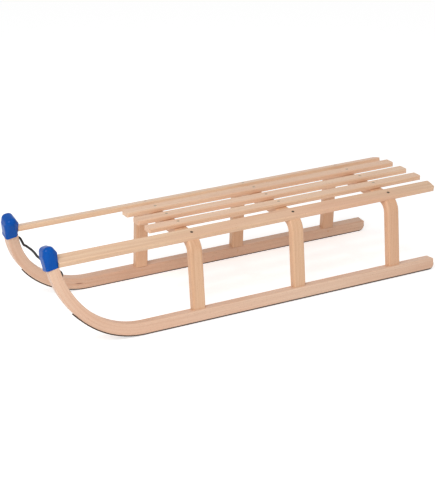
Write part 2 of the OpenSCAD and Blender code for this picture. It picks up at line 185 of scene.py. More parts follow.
def new_material(name):
    made = bpy.data.materials.new(name)
    made.use_nodes = True
    return made, Graph(made.node_tree)


def end_material(graph, shader):
    graph.node("ShaderNodeOutputMaterial", {}, {"Surface": shader})


def finish_surface(graph, sockets, height, strength, depth):
    """Ends a material with its shader's sockets and a bump, whose depth is in metres."""
    relief = graph.node("ShaderNodeBump", {}, {
        "Strength": strength, "Distance": depth, "Height": height})
    end_material(graph, graph.node("ShaderNodeBsdfPrincipled", {}, {**sockets, "Normal": relief}))


print("half of the screen's scale is", round(colour(127.5, 0, 0)[0], 3), "of full light")

# %% [markdown]
# The pull cord is a short black braided cord, 6 mm thick, knotted inside each horn. It is a
# free cord, so its route is a list of given points, the same that the CAD model uses, and a
# smooth curve is drawn through them. A mesh tube with its own UV map is used here and not a
# curve's bevel, because the braid has to follow the cord.

# %% Pull cord
MM = 0.001
CORD_D = 6 * MM
CORD_SIDES = 20
CORD_STEP = 1.5 * MM
CORD_ROUTE_MM = [
    (511.5, -127, 190), (506.5, -128, 186.5), (503.5, -127.5, 181), (502, -124.5, 176),
    (501.5, -119.5, 172.5), (502, -113.5, 171.5), (502.5, -107, 173), (503.5, -99, 175.5),
    (503.5, -90, 176), (503.5, -75, 177), (503.5, -58, 177.5), (503.5, -48, 177),
    (503, -38, 175), (503, -28, 172.5), (502.5, -18, 172), (502.5, 5, 172), (502.5, 30, 172),
    (502.5, 55, 172), (502.5, 80, 172.5), (502.5, 92, 172.5), (502.5, 100, 172),
    (502, 108, 169.5), (501.5, 115, 168.5), (501.5, 121, 171), (502, 125, 175.5),
    (503.5, 127.5, 181), (506.5, 128, 186.5), (511.5, 127, 190),
]


def smooth_route(points, step):
    """Points about a step apart on a smooth curve through all the given ones."""
    ends = [2 * points[0] - points[1], *points, 2 * points[-1] - points[-2]]
    made = []
    for a, b, c, d in zip(ends, ends[1:], ends[2:], ends[3:]):
        count = max(1, round((c - b).length / step))
        for k in range(count):
            t = k / count
            made.append(0.5 * (2 * b + (c - a) * t + (2 * a - 5 * b + 4 * c - d) * t * t
                               + (3 * b - a - 3 * c + d) * t ** 3))
    return made + [points[-1]]


def add_piece(name, mesh):
    """Turns a finished bmesh into an object at the origin."""
    data = bpy.data.meshes.new(name)
    mesh.to_mesh(data)
    mesh.free()
    return link_object(name, data)


def link_object(name, data):
    piece = bpy.data.objects.new(name, data)
    bpy.context.scene.collection.objects.link(piece)
    return piece


def tube(name, route, diameter, sides):
    """A closed round tube along a route, with U round it and V in metres along it."""
    mesh = bmesh.new()
    uv = mesh.loops.layers.uv.new("along")
    side = Vector((1, 0, 0))
    rings = []
    lengths = [0.0]
    for k, here in enumerate(route):
        ahead = (route[min(k + 1, len(route) - 1)] - route[max(k - 1, 0)]).normalized()
        side = (side - side.dot(ahead) * ahead).normalized()
        up = ahead.cross(side)
        ring = []
        for j in range(sides):
            angle = 2 * math.pi * j / sides
            out = math.cos(angle) * side + math.sin(angle) * up
            ring.append(mesh.verts.new(here + diameter / 2 * out))
        rings.append(ring)
        if k:
            lengths.append(lengths[-1] + (here - route[k - 1]).length)
    for k, (ring, following) in enumerate(zip(rings, rings[1:])):
        for j in range(sides):
            n = (j + 1) % sides
            face = mesh.faces.new((ring[j], ring[n], following[n], following[j]))
            face.smooth = True
            corners = ((j, k), (j + 1, k), (j + 1, k + 1), (j, k + 1))
            for loop, (round_step, along_step) in zip(face.loops, corners):
                loop[uv].uv = (round_step / sides, lengths[along_step])
    mesh.faces.new(reversed(rings[0]))
    mesh.faces.new(rings[-1])
    bmesh.ops.recalc_face_normals(mesh, faces=mesh.faces)
    return add_piece(name, mesh), lengths[-1]


cord_route = smooth_route([Vector(p) * MM for p in CORD_ROUTE_MM], CORD_STEP)
cord, cord_length = tube("braided_cord", cord_route, CORD_D, CORD_SIDES)
print("cord length", round(cord_length, 4), "m, rings", len(cord_route))

# %% [markdown]
# A braid is two sets of yarns that wind round the cord in opposite directions and pass over
# and under each other. On a cord this thin they are well under a millimetre wide, so a bump
# is enough: one helix each way, and a checker that says which of the two lies on top.

# %% Cord material
YARNS = 8
YARN_PITCH = 14 * MM
YARN_DEPTH = 0.35 * MM
FUZZ_PER_M = 2600
# Two blacks: the deeper one is painted shade in the grooves between the yarns, the paler one a
# painted sheen on their crowns.
CORD_SHADED_AND_LIT_BLACKS = (colour(9, 9, 10), colour(42, 41, 42))


def cord_material():
    made, graph = new_material("black_cord")
    uv = graph.node("ShaderNodeUVMap", {"uv_map": "along"})
    round_it = graph.part(uv, 0)
    along = graph.part(uv, 1) / YARN_PITCH
    waves = [graph.maths("SINE", winding * (YARNS * math.pi))
             for winding in (round_it + along, round_it - along)]
    left_over = waves[0] * waves[1] > 0
    ridges = [graph.maths("ABSOLUTE", wave) for wave in waves]
    height = ridges[0] * left_over + ridges[1] * (1 - left_over)
    fuzz = graph.noise(graph.object_place(), FUZZ_PER_M, 1)
    # The black is painted darker in the grooves and lighter on the yarns' crowns, as painted
    # shade and sheen, with a random fuzz of real tone over it.
    tone = graph.mix(height * 0.7 + fuzz * 0.3, *CORD_SHADED_AND_LIT_BLACKS)
    finish_surface(graph, {"Base Color": tone, "Roughness": 0.75},
                   height=height + fuzz * 0.25, strength=0.8, depth=YARN_DEPTH)
    return made


cord_finish = cord_material()
cord.data.materials.append(cord_finish)
print("braid of", YARNS, "yarns each way")

# %% [markdown]
# All the wood is steamed beech: pale, fine, and slightly pink. Real timber is a solid pattern,
# so the same one has to show on the faces, the edges and the sawn ends. Three numbers place a
# point in it: how far it lies along the grain, and where it lies across the piece and in its
# depth. The functions that find them are written next to the pieces.
#
# Four things make beech look like beech. Growth rings a few millimetres wide run along the
# piece and close into arcs on its ends. A slow drift of tone comes from the tree's years.
# Fine pores, drawn out along the grain, make it silky. And short dark flecks, a couple of
# millimetres long, are found on no other pale timber. A thin varnish lies over it all.

# %% Beech patterns
# Each pattern's changes in a metre along the grain, in a metre across it, and its detail.
YEARS = (1.6, 9, 2)
WANDER = (4, 30, 1)
BLUSH = (2.3, 14, 1)
STREAKS = (5, 260, 2)
PORES = (45, 1500, 3)
FLECKS = (330, 1500, 0)
BLUSH_START = 4.0

RING_WIDTH = 2.6 * MM
RING_WANDER = 2.2
HEART_DEPTH = 60 * MM
HEART_SWING = (50 * MM, 15 * MM)
SAWN_APART = 0.37


def drawn_out(graph, point, pattern, start=0.0):
    """Noise that is stretched along the grain."""
    along, across, depth = point
    often_along, often_across, detail = pattern
    place = graph.vector(along * often_along + start, across * often_across,
                         depth * often_across)
    return graph.noise(place, 1.0, detail)


def growth_rings(graph, point, seed):
    """Rings round the tree's heart, which lies under the piece, elsewhere for each seed."""
    heart_across = point[1] - HEART_SWING[0] * math.sin(seed * 2.1)
    heart_depth = point[2] + HEART_DEPTH + HEART_SWING[1] * math.cos(seed)
    rings = graph.distance(heart_across, heart_depth) / RING_WIDTH
    wander = drawn_out(graph, point, WANDER) * RING_WANDER
    return graph.maths("SINE", (rings + wander) * (2 * math.pi))


print("beech rings", RING_WIDTH / MM, "mm wide")

# %% [markdown]
# The finish puts the patterns together. Their sum slides between a pale and a deep tone, so
# every shade stays within what beech really has. A rosy blush and the flecks are laid over
# that, and the pores and rings also raise and sink the surface a little under the varnish.

# %% Beech
# How strongly each pattern shows. Their noises lie round a half, so the last number brings
# the middle of their sum back to about a half.
YEARS_SHOW = 1.1
STREAKS_SHOW = 0.8
RINGS_SHOW = 0.12
PORES_SHOW = 0.2
TONE_DROP = 0.57

ROSY = colour(226, 170, 138)
ROSY_LIMITS = (0.42, 0.7)
FLECK_BROWN = colour(150, 100, 66)
FLECK_LIMITS = (0.66, 0.78)
FLECKS_SHOW = 0.35
MARK_BROWN = colour(136, 82, 56)
MARK_SHOWS = 0.9
VARNISH = {"Coat Weight": 0.18, "Coat Roughness": 0.28}
GRAIN_RELIEF = 0.08 * MM


def beech(name, grain, tones, seed, blush=0.25, mark=None):
    """Varnished beech between two tones; grain is a function that gives the three numbers."""
    made, graph = new_material(name)
    along, across, depth = grain(graph)
    point = (along + seed * SAWN_APART, across, depth)
    rings = growth_rings(graph, point, seed)
    pores = drawn_out(graph, point, PORES)
    tone = (drawn_out(graph, point, YEARS) * YEARS_SHOW
            + drawn_out(graph, point, STREAKS) * STREAKS_SHOW
            + rings * RINGS_SHOW + pores * PORES_SHOW - TONE_DROP)
    rosy = graph.between(drawn_out(graph, point, BLUSH, BLUSH_START), *ROSY_LIMITS)
    flecks = graph.between(drawn_out(graph, point, FLECKS), *FLECK_LIMITS)
    wood = graph.mix(tone, *tones)
    wood = graph.mix(rosy * blush, wood, ROSY)
    wood = graph.mix(flecks * FLECKS_SHOW, wood, FLECK_BROWN)
    if mark:
        wood = graph.mix(mark(graph, along, across, depth) * MARK_SHOWS, wood, MARK_BROWN)
    height = pores * 0.7 + rings * 0.15 - flecks * 0.6
    finish_surface(graph, {"Base Color": wood, "Roughness": 0.40 + pores * 0.14, **VARNISH},
                   height=height, strength=0.35, depth=GRAIN_RELIEF)
    return made


def dress(node, material):
    """Gives a CAD node's object one material, in every slot that it has."""
    data = nodes[node].data
    if not data.materials:
        data.materials.append(material)
    for k in range(len(data.materials)):
        data.materials[k] = material


# %% [markdown]
# A runner was a straight lath when it was sawn, and its horn was bent in steam. Its grain
# follows the bend, so the three numbers of a point are found by unbending it: round the
# horn's centre, the angle is the length along the grain. The runner also leans inwards with
# the legs that stand in it, and the upper part of its bend leans inwards more. The far runner
# has a dark natural mark on its inner face, shaped like a flame, and a stretched spot in the
# same three numbers gives it.

# %% Runners
LEAN = math.radians(5)
TRACK_HALF = 168.5 * MM
GROUND_LIFT = 0.959 * MM
RUNNER_MID_Z = 17.5 * MM
HORN_R = 216 * MM
HORN_START_X = 312.9 * MM
HORN_LOWER_BEND = math.radians(30)
HORN_ROLL = math.radians(14)
RUNNER_TONES = (colour(234, 204, 179), colour(205, 158, 128))
FLAME_AT = (343 * MM, 2 * MM)
FLAME_SIZE = (17 * MM, 2.2 * MM)
FLAME_FACE = (8 * MM, 12 * MM)
FLAME_FADE = (0.2, 1.0)


def place_in_object(graph):
    """The point's x, y and z in metres, in the sledge's own frame."""
    at = graph.object_place()
    return [graph.part(at, k) for k in range(3)]


def runner_grain(graph):
    """Grain of a runner: it leans, runs straight, and then follows the bend of the horn."""
    x, y, z = place_in_object(graph)
    out = graph.maths("ABSOLUTE", y) - TRACK_HALF
    up = z - GROUND_LIFT
    side = out * math.cos(LEAN) + up * math.sin(LEAN)
    height = up * math.cos(LEAN) - out * math.sin(LEAN)
    ahead = graph.maths("MAXIMUM", x - HORN_START_X, 0.0)
    below = RUNNER_MID_Z + HORN_R - height
    angle = graph.maths("ARCTAN2", ahead, below)
    along = graph.maths("MINIMUM", x, HORN_START_X) + angle * HORN_R
    rolled = graph.maths("MAXIMUM", angle - HORN_LOWER_BEND, 0.0)
    drift = (1 - graph.maths("COSINE", rolled)) * (HORN_R * math.sin(HORN_ROLL))
    return along, side + drift, HORN_R - graph.distance(ahead, below)


def flame(graph, along, across, depth):
    """A dark flame-shaped mark on a runner's inner face."""
    away = graph.distance((along - FLAME_AT[0]) / FLAME_SIZE[0],
                          (depth - FLAME_AT[1]) / FLAME_SIZE[1])
    on_inner_face = graph.between(across * -1.0, *FLAME_FACE)
    return (1 - graph.between(away, *FLAME_FADE)) * on_inner_face


dress("left_runner", beech("runner_left_beech", runner_grain, RUNNER_TONES, 1))
dress("right_runner", beech("runner_right_beech", runner_grain, RUNNER_TONES, 2, mark=flame))
print("two runners, grain bent round", HORN_R, "m")

# %% [markdown]
# An arch is bent from one strip too: a crosspiece, two tight shoulders and two legs that
# splay outwards as they go down. A point belongs to the leg, the shoulder or the crosspiece
# by where it lies from the shoulder's centre, and each has its own length along the grain.
# The dowels that pin the legs are turned from the same wood.

# %% Arches
ARCH_BEND_Y = 116.6 * MM
ARCH_BEND_Z = 169.5 * MM
ARCH_R = 34 * MM
ARCHES = ("front_arch", "middle_arch", "rear_arch")
ARCH_TONES = (colour(232, 194, 158), colour(204, 152, 114))
PIN_TONES = (colour(226, 184, 142), colour(190, 136, 94))


def arch_grain(graph, centre_x):
    """Grain of an arch: along the crosspiece, round the shoulder and down the leg."""
    x, y, z = place_in_object(graph)
    out = graph.maths("ABSOLUTE", y) - ARCH_BEND_Y
    up = z - ARCH_BEND_Z
    leg_out = out * math.cos(LEAN) + up * math.sin(LEAN)
    leg_up = up * math.cos(LEAN) - out * math.sin(LEAN)
    in_leg = leg_up < 0.0
    in_cross = out < 0.0
    bend_depth = graph.distance(out, up) * (1 - in_cross) + up * in_cross
    angle = graph.maths("ARCTAN2", graph.maths("MAXIMUM", out, 0.0), up)
    bend_along = graph.maths("MINIMUM", out, 0.0) + angle * ARCH_R
    leg_along = ARCH_R * (math.pi / 2 - LEAN) - leg_up
    depth = leg_out * in_leg + bend_depth * (1 - in_leg)
    along = leg_along * in_leg + bend_along * (1 - in_leg)
    return along, x - centre_x, depth - ARCH_R


def middle_of(node):
    """The middle of a CAD node's box, as x, y and z."""
    low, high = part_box(node)
    return [(a + b) / 2 for a, b in zip(low, high)]


for seed, node in enumerate(ARCHES, start=3):
    grain = partial(arch_grain, centre_x=middle_of(node)[0])
    dress(node, beech(node + "_beech", grain, ARCH_TONES, seed))
dress("leg_pins", beech("pin_beech", partial(arch_grain, centre_x=0.0), PIN_TONES, 12))
print(len(ARCHES), "arches and their pins, grain bent round", ARCH_R, "m")

# %% [markdown]
# The seat is made of five straight boards: three level slats, and two outer rails that tilt
# outwards and reach forward to the horns. A straight board's three numbers are simply its own
# x, y and z, turned with it where it tilts. Each board has its own seed, because no two
# boards come from the same place in a tree.

# %% Rails and slats
BOARD_T = 14 * MM
RAIL_TILT = math.radians(14)
RAIL_Y = 129 * MM
RAIL_TOP_Z = 221 * MM
RAILS = {"left_seat_rail": 1, "right_seat_rail": -1}
RAIL_TONES = (colour(237, 206, 174), colour(208, 162, 126))
RAIL_BLUSH = 0.5
SLATS = ("left_slat", "centre_slat", "right_slat")
SLAT_TONES = (colour(243, 211, 179), colour(214, 164, 129))


def board_grain(graph, centre_y, centre_z, tilt=0.0):
    """Grain of a straight board along X whose top leans by tilt towards +Y."""
    x, y, z = place_in_object(graph)
    across = (y - centre_y) * math.cos(tilt) - (z - centre_z) * math.sin(tilt)
    depth = (y - centre_y) * math.sin(tilt) + (z - centre_z) * math.cos(tilt)
    return x, across, depth


for seed, (node, side) in enumerate(RAILS.items(), start=6):
    grain = partial(board_grain, centre_y=side * RAIL_Y, centre_z=RAIL_TOP_Z - BOARD_T / 2,
                    tilt=side * RAIL_TILT)
    dress(node, beech(node + "_beech", grain, RAIL_TONES, seed, blush=RAIL_BLUSH))
for seed, node in enumerate(SLATS, start=8):
    middle = middle_of(node)
    grain = partial(board_grain, centre_y=middle[1], centre_z=middle[2])
    dress(node, beech(node + "_beech", grain, SLAT_TONES, seed))
print(len(RAILS), "rails and", len(SLATS), "slats")

# %% [markdown]
# Some of the CAD model's solids are drawn anew from a copy. The model comes as loose
# triangles, so a copy is joined up first. Then its shading is rounded everywhere but at real
# corners, and the large flat faces are allowed to set it at their borders, so that gloss runs
# over a rounded edge without a break and the flat faces stay flat.

# %% Copies of CAD solids
JOINED_WITHIN = 0.01 * MM
CORNER = math.radians(32)


def joined_copy(node):
    """A bmesh of a CAD node, with its loose triangles joined."""
    mesh = bmesh.new()
    mesh.from_mesh(nodes[node].data)
    bmesh.ops.remove_doubles(mesh, verts=mesh.verts, dist=JOINED_WITHIN)
    return mesh


def keep_result(piece):
    """Turns what a piece's modifiers make into its own plain mesh."""
    graph = bpy.context.evaluated_depsgraph_get()
    made = bpy.data.meshes.new_from_object(
        piece.evaluated_get(graph), preserve_all_data_layers=True, depsgraph=graph)
    piece.modifiers.clear()
    piece.data = made


def rounded_piece(name, mesh, material):
    """A piece whose shading is round everywhere but at edges that are sharper than a corner."""
    for face in mesh.faces:
        face.smooth = True
    for edge in mesh.edges:
        edge.smooth = len(edge.link_faces) == 2 and edge.calc_face_angle(0.0) < CORNER
    piece = add_piece(name, mesh)
    piece.modifiers.new("weigh", "WEIGHTED_NORMAL").keep_sharp = True
    keep_result(piece)
    piece.data.materials.append(material)
    return piece


# %% [markdown]
# The photograph shows thin bright slits between the slats, so their boards are a little
# thinner than the CAD model's. The boards drawn here are copies of its solids with the
# underside raised, and their tops stay where they are. A rail keeps its full thickness where
# it enters the cap. The arches that carry the boards are copies too: each leg grows by the
# same two millimetres, spread over the upper part of its length.

# %% Thinner boards
THINNED = 2 * MM
SEAT_H = 229 * MM
RAIL_FULL_FROM = (440 * MM, 500 * MM)
LEG_GROWS_FROM = (100 * MM, 190 * MM)


def ease(value, start, end):
    """Goes smoothly from 0 at start to 1 at end."""
    share = min(max((value - start) / (end - start), 0.0), 1.0)
    return share * share * (3 - 2 * share)


def thinner_slat(point):
    under = point.z < SEAT_H - BOARD_T / 2
    return Vector((0, 0, THINNED if under else 0.0))


def thinner_rail(point):
    side = 1 if point.y > 0 else -1
    normal = Vector((0, side * math.sin(RAIL_TILT), math.cos(RAIL_TILT)))
    middle = Vector((0, side * RAIL_Y, RAIL_TOP_Z)) - normal * (BOARD_T / 2)
    under = (Vector((0, point.y, point.z)) - middle).dot(normal) < 0
    return normal * (THINNED * (1 - ease(point.x, *RAIL_FULL_FROM)) if under else 0.0)


def taller_arch(point):
    return Vector((0, 0, THINNED * ease(point.z, *LEG_GROWS_FROM)))


def moved_copy(name, node, move):
    """A copy of a dressed CAD node, with move added to each of its points."""
    mesh = joined_copy(node)
    for point in mesh.verts:
        point.co = point.co + move(point.co)
    return rounded_piece(name, mesh, nodes[node].data.materials[0])


woodwork = {}
for move, ending, changed in ((thinner_slat, "board", SLATS),
                              (thinner_rail, "board", RAILS),
                              (taller_arch, "bentwood", ARCHES)):
    for node in changed:
        woodwork[node] = moved_copy(node + "_" + ending, node, move)
print(len(woodwork), "wooden pieces drawn anew")

# %% [markdown]
# The strips are plain flat steel, dark from the mill and brightened by snow where they slide.
# Scratches run along them, and the sole is lighter and smoother than the sides. The sole is
# found by the way a face points, because only the sole points down.

# %% Steel strips
STRIP_DARKS = (colour(58, 44, 36), colour(92, 74, 62))
STRIP_BRIGHTS = (colour(118, 108, 100), colour(176, 168, 160))
SCRATCHES = (12, 900, 4)
PATCHES = (14, 60, 3)
SOLE_LIMITS = (0.55, 0.95)
SOLE_SHOWS = 0.75
SCRATCH_DEPTH = 0.05 * MM


def strip_material():
    made, graph = new_material("strip_steel")
    point = place_in_object(graph)
    scratches = drawn_out(graph, point, SCRATCHES)
    patches = drawn_out(graph, point, PATCHES)
    facing = graph.part(graph.node("ShaderNodeNewGeometry", out="Normal"), 2)
    sole = graph.between(facing * -1.0, *SOLE_LIMITS)
    tone = graph.mix(sole * SOLE_SHOWS, graph.mix(patches, *STRIP_DARKS),
                     graph.mix(scratches, *STRIP_BRIGHTS))
    rough = 0.55 - sole * 0.2 + scratches * 0.1
    finish_surface(graph, {"Base Color": tone, "Metallic": 0.7, "Roughness": rough},
                   height=scratches, strength=0.3, depth=SCRATCH_DEPTH)
    return made


strip_finish = strip_material()
for node in ("left_runner_strip", "right_runner_strip"):
    dress(node, strip_finish)
print("two strips dressed in steel")

# %% [markdown]
# The wood screws are all of one kind, in three lengths: countersunk, with a cross recess. What
# repeats is made with Geometry Nodes: one screw is modelled by the tree and set on every point
# of a small cloud. The cloud is read off the CAD model's plain screws, whose widest flat face
# is the head, so each new screw lies where its hole is. The screws are taken in the order of
# the mesh's faces, so that each run finds them in the same order.

# %% Where the screws are
def separate_solids(mesh):
    """The faces of each solid in a mesh, a list for each."""
    solids = []
    found = set()
    for first in mesh.faces:
        if first in found:
            continue
        found.add(first)
        solid = [first]
        for face in solid:
            for edge in face.edges:
                for other in edge.link_faces:
                    if other not in found:
                        found.add(other)
                        solid.append(other)
        solids.append(solid)
    return solids


def area_of(faces):
    return sum(face.calc_area() for face in faces)


def head_of(screw):
    """The middle, outward aim and length of a plain CAD screw, from its widest flat face."""
    flats = {}
    for face in screw:
        key = tuple(round(v, 2) for v in face.normal)
        flats.setdefault(key, []).append(face)
    head = max(flats.values(), key=area_of)
    aim = head[0].normal.copy()
    middle = sum((f.calc_center_median() * f.calc_area() for f in head), Vector())
    middle /= area_of(head)
    length = max((middle - v.co).dot(aim) for face in screw for v in face.verts)
    return middle, aim, length


def screw_cloud(name, node):
    """A cloud of points at the heads of a CAD node's screws, each with its aim and length."""
    mesh = joined_copy(node)
    heads = [head_of(screw) for screw in separate_solids(mesh)]
    mesh.free()
    cloud = bpy.data.meshes.new(name)
    cloud.from_pydata([place for place, aim, length in heads], [], [])
    cloud.attributes.new("aim", "FLOAT_VECTOR", "POINT")
    cloud.attributes.new("length", "FLOAT", "POINT")
    for k, (place, aim, length) in enumerate(heads):
        cloud.attributes["aim"].data[k].vector = aim
        cloud.attributes["length"].data[k].value = length
    return link_object(name, cloud)


screw_sets = {}
for node in ("rail_screws", "slat_screws", "strip_screws", "horn_screws"):
    screw_sets[node] = screw_cloud(node.replace("_screws", "_wood_screws"), node)
    print(len(screw_sets[node].data.vertices), "screws in", node)

# %% [markdown]
# One screw is a cone for the head, with two crossed blocks cut out of it, a cylinder for the
# shank and a cone for the point. The shank alone is stretched to the length that its hole
# has, so heads and points keep their shape. Nobody lines up the recesses of screws, so each
# is turned by a random angle, with a fixed seed.

# %% One screw as a tree of nodes
SCREW_INPUTS = {"Head diameter": 8 * MM, "Shank diameter": 4 * MM, "Head height": 2.2 * MM,
                "Recess length": 4.4 * MM, "Recess width": 1.0 * MM, "Recess depth": 1.3 * MM,
                "Point length": 4 * MM, "Seed": 7.0}
HEAD_SIDES = 32
SHANK_SIDES = 20
SHANK_TO_TIP = 6


def screw_tree():
    tree = bpy.data.node_groups.new("wood_screws", "GeometryNodeTree")
    tree.is_modifier = True
    add_socket = tree.interface.new_socket
    add_socket("Cloud", in_out="INPUT", socket_type="NodeSocketGeometry")
    for name, value in SCREW_INPUTS.items():
        made = add_socket(name, in_out="INPUT", socket_type="NodeSocketFloat")
        made.default_value = value
    add_socket("Finish", in_out="INPUT", socket_type="NodeSocketMaterial")
    add_socket("Screws", in_out="OUTPUT", socket_type="NodeSocketGeometry")
    graph = Graph(tree)
    names = ["Cloud", *SCREW_INPUTS, "Finish"]
    given = {name: graph.node("NodeGroupInput", out=k) for k, name in enumerate(names)}
    length = graph.node("GeometryNodeInputNamedAttribute", {"data_type": "FLOAT"},
                        {"Name": "length"})
    run = length - given["Head height"] - given["Point length"]
    parts = [(screw_head(graph, given), None, None),
             (screw_shank(graph, given), run, given["Head height"]),
             (screw_point(graph, given), None, length)]
    joined = graph.node("GeometryNodeJoinGeometry")
    for shape, stretch, depth in parts:
        set_on = {"Points": given["Cloud"], "Instance": shape,
                  "Rotation": screw_turn(graph, given)}
        if stretch is not None:
            set_on["Scale"] = graph.vector(1.0, 1.0, stretch)
        part = graph.node("GeometryNodeInstanceOnPoints", {}, set_on)
        if depth is not None:
            part = graph.node("GeometryNodeTranslateInstances", {}, {
                "Instances": part, "Translation": graph.vector(0.0, 0.0, depth * -1)})
        tree.links.new(part.socket, joined.socket.node.inputs[0])
    real = graph.node("GeometryNodeRealizeInstances", {}, {0: joined})
    done = graph.node("GeometryNodeSetMaterial", {}, {
        "Geometry": real, "Material": given["Finish"]})
    graph.node("NodeGroupOutput", {}, {0: done})
    return tree


def cone(graph, sides, top, bottom, height):
    """A cone that stands on the origin, from a bottom diameter to a top one."""
    return graph.node("GeometryNodeMeshCone", {}, {
        "Vertices": sides, "Radius Top": top / 2, "Radius Bottom": bottom / 2,
        "Depth": height})


def raised(graph, shape, height):
    return graph.node("GeometryNodeTransform", {}, {
        "Geometry": shape, "Translation": graph.vector(0.0, 0.0, height)})


def screw_head(graph, given):
    head = cone(graph, HEAD_SIDES, given["Head diameter"], given["Shank diameter"],
                given["Head height"])
    head = raised(graph, head, given["Head height"] * -1)
    long, short = given["Recess length"], given["Recess width"]
    for sides in ((long, short), (short, long)):
        block = graph.node("GeometryNodeMeshCube", {}, {
            "Size": graph.vector(*sides, given["Recess depth"] * 2)})
        head = graph.node("GeometryNodeMeshBoolean", {"operation": "DIFFERENCE"},
                          {"Mesh 1": head, "Mesh 2": block})
    return head


def screw_shank(graph, given):
    """A cylinder one metre long that hangs from the origin, to be stretched."""
    shank = graph.node("GeometryNodeMeshCylinder", {}, {
        "Vertices": SHANK_SIDES, "Radius": given["Shank diameter"] / 2, "Depth": 1.0})
    return raised(graph, shank, -0.5)


def screw_point(graph, given):
    shank = given["Shank diameter"]
    return cone(graph, SHANK_SIDES, shank, shank / SHANK_TO_TIP, given["Point length"])


def screw_turn(graph, given):
    """Sets a screw's axis along the point's aim, and turns it by a random angle about it."""
    aim = graph.node("GeometryNodeInputNamedAttribute", {"data_type": "FLOAT_VECTOR"},
                     {"Name": "aim"})
    upright = graph.node("FunctionNodeAlignRotationToVector", {"axis": "Z"}, {"Vector": aim})
    angle = graph.node("FunctionNodeRandomValue", {"data_type": "FLOAT"}, {
        2: 0.0, 3: math.pi, "Seed": given["Seed"]}, out=1)
    twist = graph.node("FunctionNodeAxisAngleToRotation", {}, {"Angle": angle})
    return graph.node("FunctionNodeRotateRotation", {"rotation_space": "LOCAL"}, {
        "Rotation": upright, "Rotate By": twist})


wood_screws = screw_tree()
print("one screw takes", len(wood_screws.nodes), "nodes")

# %% [markdown]
# The rails' screws and the hidden ones in the horns are darkened steel. The slats' and the
# strips' are plated, and much paler. The tree runs as a modifier, and its result is kept as a
# plain mesh, because the finished model carries no modifiers.

# %% Screws
DARK_SCREW = (colour(58, 46, 38), colour(108, 92, 78))
PLATED_SCREW = (colour(150, 132, 112), colour(198, 180, 158))
STAINS_PER_M = 420
STAIN_LIMITS = (0.35, 0.7)
STAIN_DEPTH = 0.04 * MM


def screw_material(name, tones):
    made, graph = new_material(name)
    stain = graph.noise(graph.object_place(), STAINS_PER_M, 3)
    tone = graph.mix(graph.between(stain, *STAIN_LIMITS), *tones)
    rough = 0.38 + stain * 0.2
    finish_surface(graph, {"Base Color": tone, "Metallic": 0.85, "Roughness": rough},
                   height=stain, strength=0.25, depth=STAIN_DEPTH)
    return made


def set_screws(cloud, finish, seed):
    """Turns a cloud of heads into the screws themselves, as a plain mesh."""
    modifier = cloud.modifiers.new("screws", "NODES")
    modifier.node_group = wood_screws
    values = {**SCREW_INPUTS, "Seed": seed, "Finish": finish}
    for socket in wood_screws.interface.items_tree:
        if socket.in_out == "INPUT" and socket.name in values:
            modifier[socket.identifier] = values[socket.name]
    keep_result(cloud)
    print(cloud.name, len(cloud.data.polygons), "faces")


dark_screw = screw_material("darkened_screw", DARK_SCREW)
plated_screw = screw_material("plated_screw", PLATED_SCREW)
set_screws(screw_sets["rail_screws"], dark_screw, seed=7.0)
set_screws(screw_sets["slat_screws"], plated_screw, seed=11.0)
set_screws(screw_sets["strip_screws"], plated_screw, seed=13.0)
set_screws(screw_sets["horn_screws"], dark_screw, seed=17.0)

# %% [markdown]
# The horn caps are moulded from a glossy blue plastic. Such plastic is never optically flat:
# the mould leaves a slight waviness, and the sunlight of a few winters pales it unevenly. Both
# are so faint that they only show in the reflections. The tails of the cord inside the horns
# get the cord's own finish.

# %% Cap plastic
CAP_BLUES = (colour(0, 71, 156), colour(0, 84, 172))
WAVES_PER_M = 38
GRAINS_PER_M = 1400
WAVE_DEPTH = 0.1 * MM


def cap_material():
    made, graph = new_material("blue_plastic")
    at = graph.object_place()
    waves = graph.noise(at, WAVES_PER_M, 2)
    grainy = graph.noise(at, GRAINS_PER_M, 2)
    finish_surface(graph, {"Base Color": graph.mix(waves, *CAP_BLUES),
                           "Roughness": 0.16 + grainy * 0.08, "Specular IOR Level": 0.12},
                   height=waves + grainy * 0.1, strength=0.10, depth=WAVE_DEPTH)
    return made


cap_finish = cap_material()
dress("cord_ends", cord_finish)
print("two cord ends dressed like the cord")

# %% [markdown]
# Each cap is one moulding that goes over the runner's tip and the rail's end. Its shape comes
# from the CAD model, and its mouth has the stiffening band that such caps need, which is swept
# round the rim here: one profile is set at each point of the rim's line, and the rows of
# points are joined.

# %% Horn caps
CAP_D = 31 * MM
CAP_W = 32 * MM
CAP_ROUND = 6 * MM
CAP_TILT = math.radians(9)
CAP_LEAN = math.radians(14)
CAP_RIM = Vector((530.72, 129.96, 198.96)) * MM
BAND_PROUD = 0.8 * MM
BAND_H = 6.5 * MM
BAND_BEVEL = 1.2 * MM
BAND_EDGE = 0.3 * MM
BAND_SUNK = 0.5 * MM
CORNER_STEPS = 10


def rim_line():
    """Points and outward directions round a cap's front and sides, from one rear corner on."""
    half_d = CAP_D / 2 - CAP_ROUND
    half_w = CAP_W / 2 - CAP_ROUND
    line = [(Vector((-half_d, half_w + CAP_ROUND)), Vector((0, 1)))]
    for side in (1, -1):
        for k in range(CORNER_STEPS + 1):
            turn = math.pi / 2 * k / CORNER_STEPS
            angle = math.pi / 2 - turn if side == 1 else -turn
            out = Vector((math.cos(angle), math.sin(angle)))
            line.append((Vector((half_d, side * half_w)) + CAP_ROUND * out, out))
    line.append((Vector((-half_d, -half_w - CAP_ROUND)), Vector((0, -1))))
    return line


